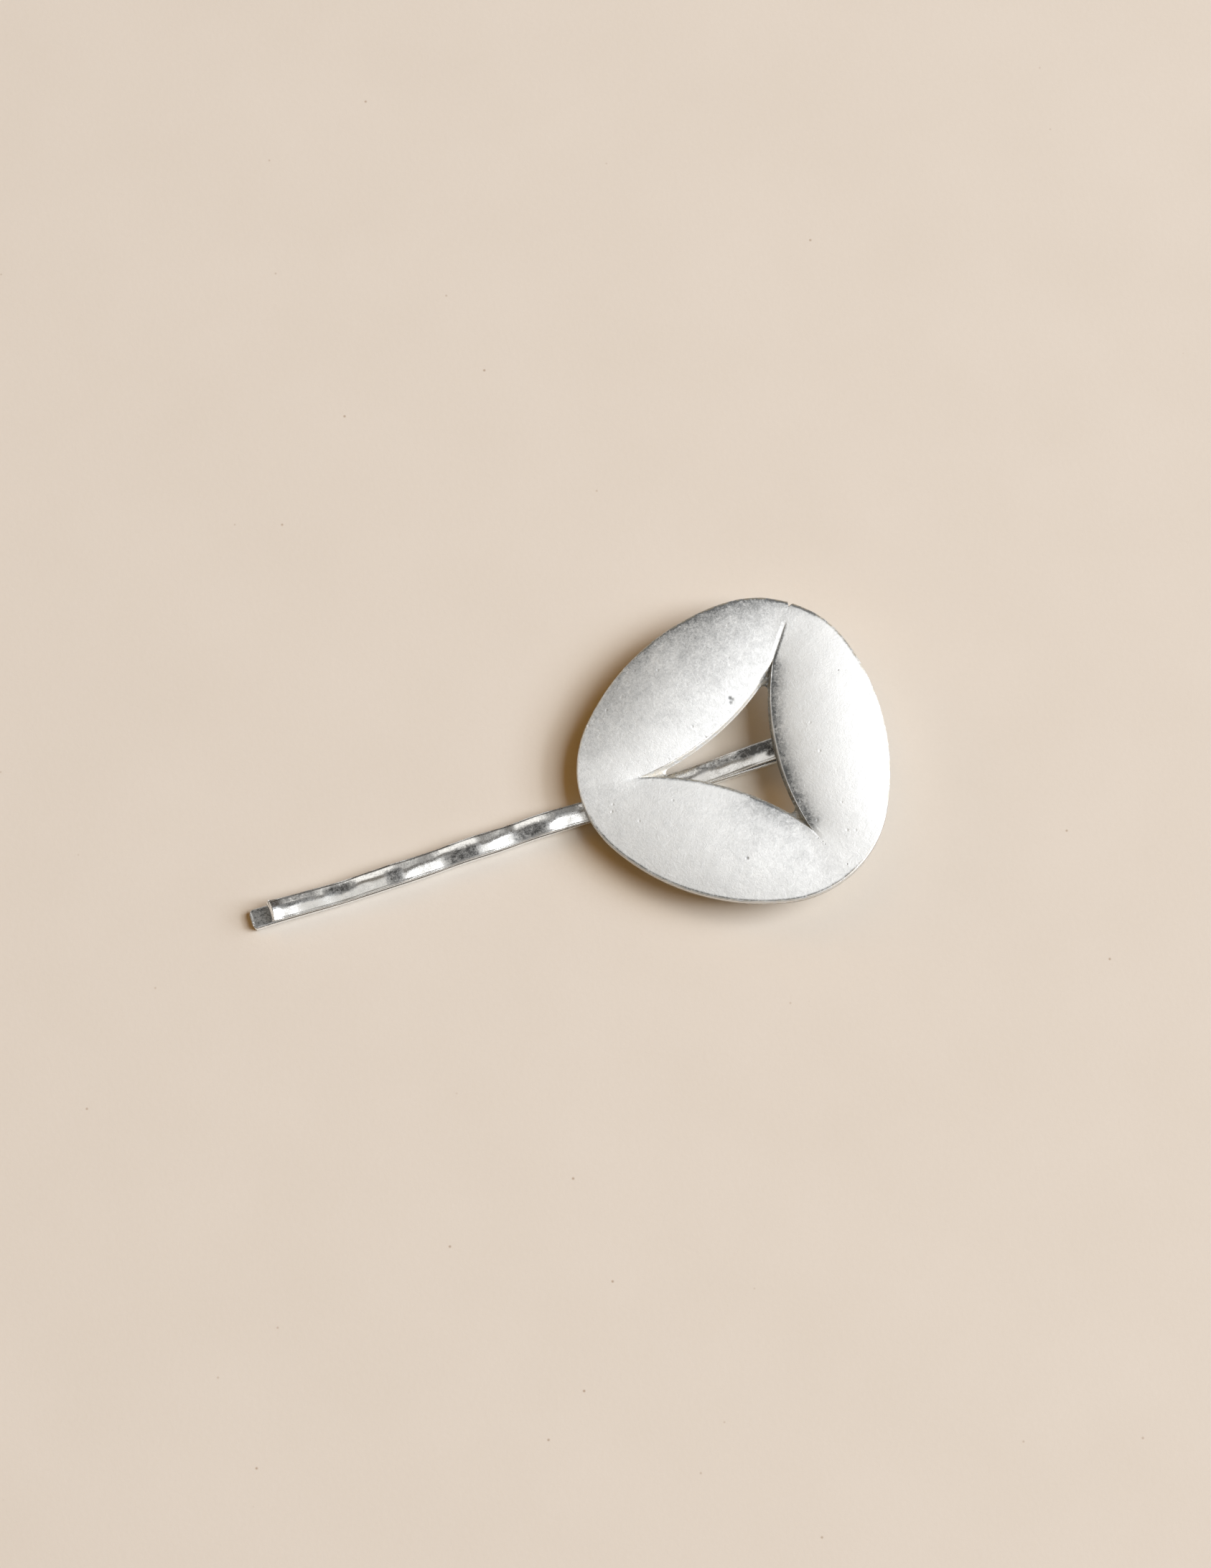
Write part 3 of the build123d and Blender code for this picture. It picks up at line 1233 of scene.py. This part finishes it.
@dataclass
class BobbyPin:
    """The strip, bent double, with a crimped upper leg, and the pad soldered on it."""

    tip: tuple[float, float]
    pad_plane: Tilted
    length: float = 60.0
    half_width: float = 1.0
    half_thickness: float = 0.4
    edge_round: float = 0.2
    tip_round: float = 0.38
    bend_radius: float = 1.344
    lean: float = 5.0
    pad_radius: float = 4.0
    pad_thickness: float = 0.5
    pad_edge: float = 0.06
    pad_columns: int = 96
    pad_tarnish: float = 0.4
    # The upper leg's back: its fall to both edges, its ridge's rounding, and the hammering.
    ridge_fall: float = 0.27
    ridge_round: float = 0.26
    ridge_cut: float = 0.28
    # The ridge's place across the strip, and the size, pace and start of each wave of its wander.
    ridge_place: float = 0.08
    ridge_waves: tuple[tuple[float, float, float], ...] = ((0.1, 0.93, 1.0), (0.07, 2.17, 2.0))
    hammering: float = 0.016
    plating: float = 0.02
    # Distance from the tip and middle height of the upper leg's corners, from its free end.
    upper_leg: tuple[tuple[float, float], ...] = (
        (2.1, 2.1), (2.75, 1.72), (4.35, 1.56), (6.6, 1.48), (9.0, 1.35), (14.7, 1.72),
        (19.05, 1.35), (22.7, 1.72), (26.7, 1.35), (29.6, 1.7), (33.1, 1.35), (44.4, 1.35),
        (46.4, 1.56), (50.2, 2.38), (56.5, 2.94),
    )
    corner_softness: float = 0.17
    # Where the upper leg's stretch under the pad is lifted to meet the bend.
    lifted: tuple[float, float] = (44.0, 56.5)
    # Rings along the bare tip, the rest of the lower leg, the bend and the upper leg.
    ring_counts: tuple[int, int, int, int] = (40, 110, 40, 620)
    # Distance from the tip and sideways bow of both legs.
    sideways: tuple[tuple[float, float], ...] = (
        (0.0, 0.12), (3.0, 0.08), (9.0, -0.13), (17.0, -0.11), (21.0, 0.05), (25.0, 0.02),
        (28.0, 0.15), (31.0, 0.1), (36.0, 0.0), (60.0, 0.0),
    )
    # How far each of an end's two closing rings stands out and is drawn in.
    end_steps: tuple[tuple[float, float], ...] = ((0.03, 0.03), (0.04, 0.06))
    cap_marks: tuple[float, float] = (0.3, 0.1)
    bare_tip: float = 2.4
    upper_tarnish: float = 0.12
    lower_tarnish: float = 0.08
    tip_tarnish: float = 0.6
    side_wear: float = 0.35

    def _upper_height(self, x: Array) -> Array:
        """Middle height of the upper leg: straight runs with softly rounded corners.

        It is the first run's line plus, for each corner, the change of slope times
        w ln(1 + e^((x - corner) / w)), the soft form of a ramp that starts at the corner.

        Args:
            x: distances from the tip.

        Returns:
            A height for each distance.
        """
        knots = np.array(self.upper_leg)
        slopes = np.diff(knots[:, 1]) / np.diff(knots[:, 0])
        height = knots[0, 1] + slopes[0] * (x - knots[0, 0])
        width = self.corner_softness
        for start, change in zip(knots[1:-1, 0], np.diff(slopes)):
            height = height + change * width * np.logaddexp(0.0, (x - start) / width)
        return height

    def centre_line(self) -> tuple[Array, Array, Array]:
        """Middle line from the lower tip round the bend to the free end.

        The lower leg is straight, and the bend is an arc of radius R: x = s + R sin a and
        z = t + R (1 - cos a). The upper leg's stretch under the pad is lifted to meet the bend.

        Returns:
            Distance from the tip, height, and 1 on the upper leg or 0 on the lower one.
        """
        start = self.length - self.bend_radius - self.half_thickness
        tip_rings, leg_rings, bend_rings, upper_rings = self.ring_counts
        tip_x = np.linspace(0.12, self.bare_tip, tip_rings)
        lower_x = np.concatenate([tip_x, np.linspace(self.bare_tip + 0.1, start - 0.1, leg_rings)])
        turn = np.radians(np.linspace(0.0, 180.0 + self.lean, bend_rings))
        bend_x = start + self.bend_radius * np.sin(turn)
        bend_z = self.half_thickness + self.bend_radius * (1.0 - np.cos(turn))
        upper_x = np.linspace(self.upper_leg[-1][0], self.upper_leg[0][0] + 0.06, upper_rings)
        upper_z = self._upper_height(upper_x)
        slope = math.tan(math.radians(self.lean))
        gap = bend_z[-1] - (bend_x[-1] - upper_x[0]) * slope - upper_z[0]
        upper_z = upper_z + gap * smooth_step(upper_x, *self.lifted)
        x = np.concatenate([lower_x, bend_x, upper_x])
        z = np.concatenate([np.full(lower_x.shape, self.half_thickness), bend_z, upper_z])
        rising = np.linspace(0.0, 1.0, len(turn))
        upper = np.concatenate([np.zeros(lower_x.shape), rising, np.ones(upper_x.shape)])
        return x, z, upper

    def section(self) -> tuple[Array, Array]:
        """Outline of the strip's section: a rectangle with quarter circles for corners.

        Returns:
            Place of each point across the strip and through it, in order round the section.
        """
        corner = self.edge_round
        quarter = np.radians(np.linspace(90.0, 0.0, 5))
        w, t = self.half_width - corner, self.half_thickness - corner
        flat = np.linspace(w, -w, 27)[1:-1]
        across, through = [], []
        for sx, sy in ((1, 1), (1, -1), (-1, -1), (-1, 1)):
            angle = quarter if sx * sy > 0 else quarter[::-1]
            across.append(sx * (w + corner * np.cos(angle)))
            through.append(sy * (t + corner * np.sin(angle)))
            if sx * sy < 0:
                across.append(sx * flat)
                through.append(np.full(flat.shape, sy * self.half_thickness))
        return np.concatenate(across), np.concatenate(through)

    def _relief(self, run: Array, share: Array, side: Array) -> Array:
        """How far the upper leg's back is cut down, for each ring and point.

        It falls from a soft ridge to both edges as f (sqrt((t - c)^2 + s^2) - k), with t the place
        across the strip and c the ridge's, which wanders along the strip, and is uneven from
        hammering.

        Args:
            run: distance of each ring along the strip.
            share: place of each point across the strip, -1 to 1.
            side: place of each ring's points across the strip, in millimetres.

        Returns:
            A depth for each ring and point.
        """
        ridge = np.full(run.shape, self.ridge_place)
        for size, pace, start in self.ridge_waves:
            ridge = ridge + size * np.sin(run * pace + start)
        rounded = np.hypot(share[None, :] - ridge[:, None], self.ridge_round)
        fall = self.ridge_fall * (rounded - self.ridge_cut)
        uneven = self.hammering * ripple(run[:, None], side * 1.3, (2.3, 3.7, 1.9))
        return np.maximum(fall, 0.0) + uneven + self.plating

    def build_strip(self) -> bpy.types.Object:
        """Carries the section along the middle line, and closes both ends.

        The section stands square to the line: a point at depth d has
        x - d dz/ds and z + d dx/ds, and the legs bow sideways together. The section narrows to the
        tip as the edge of a quarter circle.

        Returns:
            The strip.
        """
        x, z, upper = self.centre_line()
        direction = np.stack([np.gradient(x), np.gradient(z)], axis=-1)
        direction /= np.linalg.norm(direction, axis=1, keepdims=True)
        run = np.concatenate([[0.0], np.cumsum(np.hypot(np.diff(x), np.diff(z)))])
        radius = self.tip_round
        short = np.maximum(radius - run, 0.0)
        narrowing = radius - np.sqrt(np.maximum(radius**2 - short**2, 0.0))
        across, through = self.section()
        side = across[None, :] * (1.0 - narrowing / self.half_width)[:, None]
        share = across / self.half_width
        outer = smooth_step(-through, self.half_thickness * 0.3, self.half_thickness)
        back = upper[:, None] * outer[None, :]
        depth = through[None, :] + back * self._relief(run, share, side)
        nearby = x[:, None] + np.linspace(-1.2, 1.2, 9)[None, :]
        bow = np.interp(nearby, *np.array(self.sideways).T).mean(axis=1)
        px = x[:, None] - direction[:, 1:2] * depth
        pz = z[:, None] + direction[:, 0:1] * depth
        points = np.stack([px, bow[:, None] + side, pz], axis=-1)
        start = self._end_rings(points[0], direction[0], -1.0)
        end = self._end_rings(points[-1], direction[-1], 1.0)
        points = np.concatenate([start[::-1], points, end])
        rows, columns = points.shape[:2]
        flat = points.reshape(-1, 3) + np.array([*self.tip, 0.0])
        centres = np.array([flat[:columns].mean(axis=0), flat[-columns:].mean(axis=0)])
        rings = np.clip(np.arange(rows) - len(self.end_steps), 0, len(x) - 1)
        marks = self._strip_marks(x[rings], upper[rings], share, through)
        return new_piece(
            "pin_strip",
            np.concatenate([flat, centres]),
            grid_faces(rows, columns, False),
            end_caps(rows, columns),
            {mark: np.append(values.ravel(), self.cap_marks) for mark, values in marks.items()},
        )

    def _end_rings(self, ring: Array, direction: Array, way: float) -> Array:
        """Shrinking rings that round off an end of the strip.

        Args:
            ring: the points of the strip's last ring.
            direction: the middle line's direction there, as x and z.
            way: 1 where the strip ends in that direction, -1 where it starts.

        Returns:
            The new rings, the smallest last.
        """
        centre = ring.mean(axis=0)
        step = np.array([direction[0], 0.0, direction[1]]) * way
        spread = ring - centre
        length = np.linalg.norm(spread, axis=1, keepdims=True)
        return np.array(
            [centre + spread * (1.0 - inset / length) + step * out for out, inset in self.end_steps]
        )

    def _strip_marks(
        self, x: Array, upper: Array, share: Array, through: Array
    ) -> dict[Mark, Array]:
        """Dark marks, painted shadow among them, and wear of each point of the strip.

        Each dark patch of the upper leg, painted shadow among them, is a e^(-u^4) e^(-v^4), with u
        and v the distances from its middle along and across the strip, in shares of its reaches.
        The lower leg is dark on its bare tip. The strip's sides are worn, and so is the tip's end.

        Args:
            x: distance of each ring from the tip.
            upper: 1 for the rings of the upper leg, 0 for the lower one.
            share: place of each point across the strip, -1 to 1.
            through: place of each point through the strip.

        Returns:
            An array of numbers for each mark, rings by points.
        """
        x, upper, share = x[:, None], upper[:, None], share[None, :]
        leg = np.full((len(x), share.shape[1]), self.upper_tarnish)
        # Dark patches, painted shadow and shade among them.
        for dark_patch in DARK_PATCHES:
            reach = np.where(x < dark_patch.x, dark_patch.reach_west, dark_patch.reach_east)
            along = hump(x, dark_patch.x, reach, 4.0)
            leg = np.maximum(
                leg, dark_patch.strength * along * hump(share, dark_patch.across, dark_patch.half_width, 4.0)
            )
        inner_face = smooth_step(through, 0.3, 0.38)[None, :]
        tip_face = (1.0 - smooth_step(x, self.bare_tip, 3.2)) * inner_face * self.tip_tarnish
        tarnish_and_shade = upper * leg + (1.0 - upper) * (self.lower_tarnish + tip_face)
        side = smooth_step(np.abs(share), 0.8, 0.93)
        bare_end = np.maximum(side, 1.0 - smooth_step(x, 0.25, 0.4))
        worn = np.where(x < self.bare_tip, bare_end, self.side_wear * side)
        return {Mark.TARNISH_AND_SHADE: tarnish_and_shade, Mark.WORN: worn}

    def build_pad(self) -> bpy.types.Object:
        """Turns a small profile about the pad's axis: a round plate with softened edges.

        Returns:
            The pad.
        """
        r, t, e, hub = self.pad_radius, self.pad_thickness, self.pad_edge, 0.35 * self.pad_radius
        profile = np.array([(hub, -t), (r - e, -t), (r, e - t), (r, -e), (r - e, 0.0), (hub, 0.0)])
        around = np.linspace(0.0, 2.0 * math.pi, self.pad_columns, endpoint=False)
        x, y = profile[:, :1] * np.cos(around), profile[:, :1] * np.sin(around)
        points = self.pad_plane.lift(x, y, np.broadcast_to(profile[:, 1:], x.shape)).reshape(-1, 3)
        centres = self.pad_plane.lift(np.zeros(2), np.zeros(2), np.array([-t, 0.0]))
        points = np.concatenate([points, centres])
        tarnish_and_shade = np.full(len(points), self.pad_tarnish)
        return new_piece(
            "disc_pad",
            points,
            grid_faces(len(profile), self.pad_columns, False),
            end_caps(len(profile), self.pad_columns),
            {Mark.TARNISH_AND_SHADE: tarnish_and_shade, Mark.WORN: np.zeros_like(tarnish_and_shade)},
        )

    def build(self) -> list[bpy.types.Object]:
        """Makes the strip and the pad, and dresses both in the strip's plate.

        Returns:
            Both pieces.
        """
        pieces = [self.build_strip(), self.build_pad()]
        finish = StripSilver().material()
        for piece in pieces:
            dress(piece, finish, "bobby_pin")
        return pieces


# Studio


@dataclass(frozen=True)
class Softbox:
    """A rectangular area light that faces the object.

    Turn is in degrees from the picture's right-hand side, towards its back, and elevation in
    degrees above the paper. Lengths are metres and the power is in watts.
    """

    name: str
    turn: float
    elevation: float
    distance: float
    width: float
    height: float
    power: float
    colour: Tint


@dataclass(frozen=True)
class Glow:
    """A pale part of the room round one direction: full inside one angle, gone outside another."""

    turn: float
    elevation: float
    full_angle: float
    end_angle: float
    strength: float
    tint: Tint = (1.0, 0.86, 0.68)


SOFTBOXES = (
    Softbox("key", 2.0, 51.0, 3.0, 1.9, 1.7, 72.0, (1.02, 1.0, 0.97)),
    Softbox("low key", 5.0, 31.0, 3.0, 1.5, 1.1, 57.0, (0.95, 0.985, 1.065)),
)
# Two broad dim ones, then those that the strip's crimps and leaning stretch and the rolled edge
# of the opening reflect.
GLOWS = (
    Glow(165.0, 55.0, 14.0, 40.0, 0.1),
    Glow(262.0, 62.0, 10.0, 36.0, 0.12),
    Glow(118.0, 49.0, 8.0, 21.0, 1.1, (1.0, 0.96, 0.9)),
    Glow(300.0, 74.0, 3.0, 20.0, 0.6, (1.0, 0.97, 0.92)),
    Glow(233.0, 67.0, 4.0, 13.0, 0.8, (1.0, 0.98, 0.95)),
    Glow(158.0, 22.0, 6.0, 13.0, 1.8),
)


@dataclass
class Studio:
    """The camera at the photograph's angle, the paper floor, the lights and the pale room."""

    target: tuple[float, float, float] = (36.366 + PIN_TIP[0], 2.399 + PIN_TIP[1], 0.0)
    camera_turn: float = 270.0
    camera_elevation: float = 75.0
    heading: float = 18.413
    distance: float = 414.0
    lens: float = 98.9
    floor_half: float = 3200.0
    floor_height: float = -0.01
    room_strength: float = 0.05
    room_tint: Tint = (1.0, 0.78, 0.55)
    # What of the room's light the paper and other matt things bounce on.
    bounce_tint: Tint = (1.0, 0.56, 0.14)
    softboxes: Sequence[Softbox] = SOFTBOXES
    glows: Sequence[Glow] = GLOWS

    def axes(self) -> tuple[Array, Array]:
        """Floor directions of the picture's right and of its back."""
        c, s = math.cos(math.radians(self.heading)), math.sin(math.radians(self.heading))
        return np.array([c, -s, 0.0]), np.array([s, c, 0.0])

    def direction(self, turn: float, elevation: float) -> Array:
        """Unit vector cos e (cos t right + sin t back) + sin e up.

        Args:
            turn: t, in degrees from the picture's right.
            elevation: e, in degrees above the paper.

        Returns:
            The vector.
        """
        right, back = self.axes()
        t, e = math.radians(turn), math.radians(elevation)
        level = right * math.cos(t) + back * math.sin(t)
        return level * math.cos(e) + np.array([0.0, 0.0, math.sin(e)])

    @staticmethod
    def _stand(
        name: str, data: bpy.types.ID, right: Array, backward: Array, place: Array
    ) -> bpy.types.Object:
        """Puts a camera or a light in its place, looking against its backward direction.

        Args:
            name: the object's name.
            data: the camera or light.
            right: its right, a unit vector.
            backward: its backward direction, a unit vector.
            place: where it stands, in metres.

        Returns:
            The object.
        """
        made = bpy.data.objects.new(name, data)
        bpy.context.scene.collection.objects.link(made)
        turned = np.eye(4)
        turned[:3] = np.column_stack([right, np.cross(backward, right), backward, place])
        made.matrix_world = Matrix(turned.tolist())
        return made

    def add_camera(self) -> None:
        """Puts the camera in place and makes it the scene's own."""
        backward = self.direction(self.camera_turn, self.camera_elevation)
        place = (np.array(self.target) + backward * self.distance) * MM
        data = bpy.data.cameras.new("camera")
        data.sensor_fit = "VERTICAL"
        data.sensor_height = 36.0
        data.lens = self.lens
        data.clip_start = 0.01
        data.clip_end = 20.0
        camera = self._stand("camera", data, self.axes()[0], backward, place)
        bpy.context.scene.camera = camera

    def add_softbox(self, box: Softbox) -> None:
        """Adds one light, square to its line to the object.

        Args:
            box: the light.
        """
        towards = self.direction(box.turn, box.elevation)
        side = np.cross([0.0, 0.0, 1.0], towards)
        data = bpy.data.lights.new(box.name, "AREA")
        data.shape = "RECTANGLE"
        data.size, data.size_y = box.width, box.height
        data.energy = box.power
        data.color = box.colour
        self._stand(box.name, data, side / np.linalg.norm(side), towards, towards * box.distance)

    def add_room(self) -> None:
        """Surrounds the scene with a dim room and its pale parts.

        A glow's share is a ramp over the cosine between the view and its direction. What matt
        things receive is tinted once more.
        """
        world = bpy.data.worlds.new("room")
        world.use_nodes = True
        bpy.context.scene.world = world
        graph = ShaderGraph(world.node_tree)
        look = graph.wire(graph.node("ShaderNodeTexCoord"), "Generated")
        light = graph.scaled(self.room_tint, self.room_strength)
        for glow in self.glows:
            towards = tuple(self.direction(glow.turn, glow.elevation))
            cosine = graph.vector_math("DOT_PRODUCT", look, towards, "Value")
            ends = (math.cos(math.radians(angle)) for angle in (glow.end_angle, glow.full_angle))
            share = graph.ramp(cosine, tuple(zip(ends, (0.0, 1.0))))
            light = graph.vector_math("ADD", light, graph.scaled(glow.tint, share * glow.strength))
        matt = graph.wire(graph.node("ShaderNodeLightPath"), "Is Diffuse Ray")
        bounced = graph.vector_math("MULTIPLY", light, self.bounce_tint)
        colour = graph.mix(matt, light, bounced)
        shader = graph.node("ShaderNodeBackground", None, {"Color": colour, "Strength": 1.0})
        graph.node("ShaderNodeOutputWorld", None, {"Surface": graph.wire(shader)})

    def add_floor(self) -> bpy.types.Object:
        """A flat sheet of paper, well past the picture's edges.

        Returns:
            The sheet.
        """
        half = self.floor_half
        corners = np.array([(-half, -half), (half, -half), (half, half), (-half, half)])
        points = np.column_stack([corners, np.full(len(corners), self.floor_height)])
        floor = new_piece("paper", points, np.array([[0, 1, 2, 3]]))
        floor.data.materials.append(PalePaper().material())
        return floor

    def build(self) -> list[bpy.types.Object]:
        """Sets up everything that isn't the object.

        Returns:
            The floor.
        """
        self.add_camera()
        self.add_room()
        for box in self.softboxes:
            self.add_softbox(box)
        view = bpy.context.scene.view_settings
        view.view_transform = "Standard"
        view.look = "None"
        return [self.add_floor()]


def main() -> None:
    """Builds the studio and then the hair pin."""
    logging.basicConfig(level=logging.INFO, format="%(name)s: %(message)s")
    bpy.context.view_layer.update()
    for group in (Studio(), PetalDisc(DISC_PLANE), BobbyPin(PIN_TIP, PAD_PLANE)):
        for piece in group.build():
            mesh = piece.data
            LOG.info("%s: %d points, %d faces", piece.name, len(mesh.vertices), len(mesh.polygons))


if __name__ == "__main__":
    main()
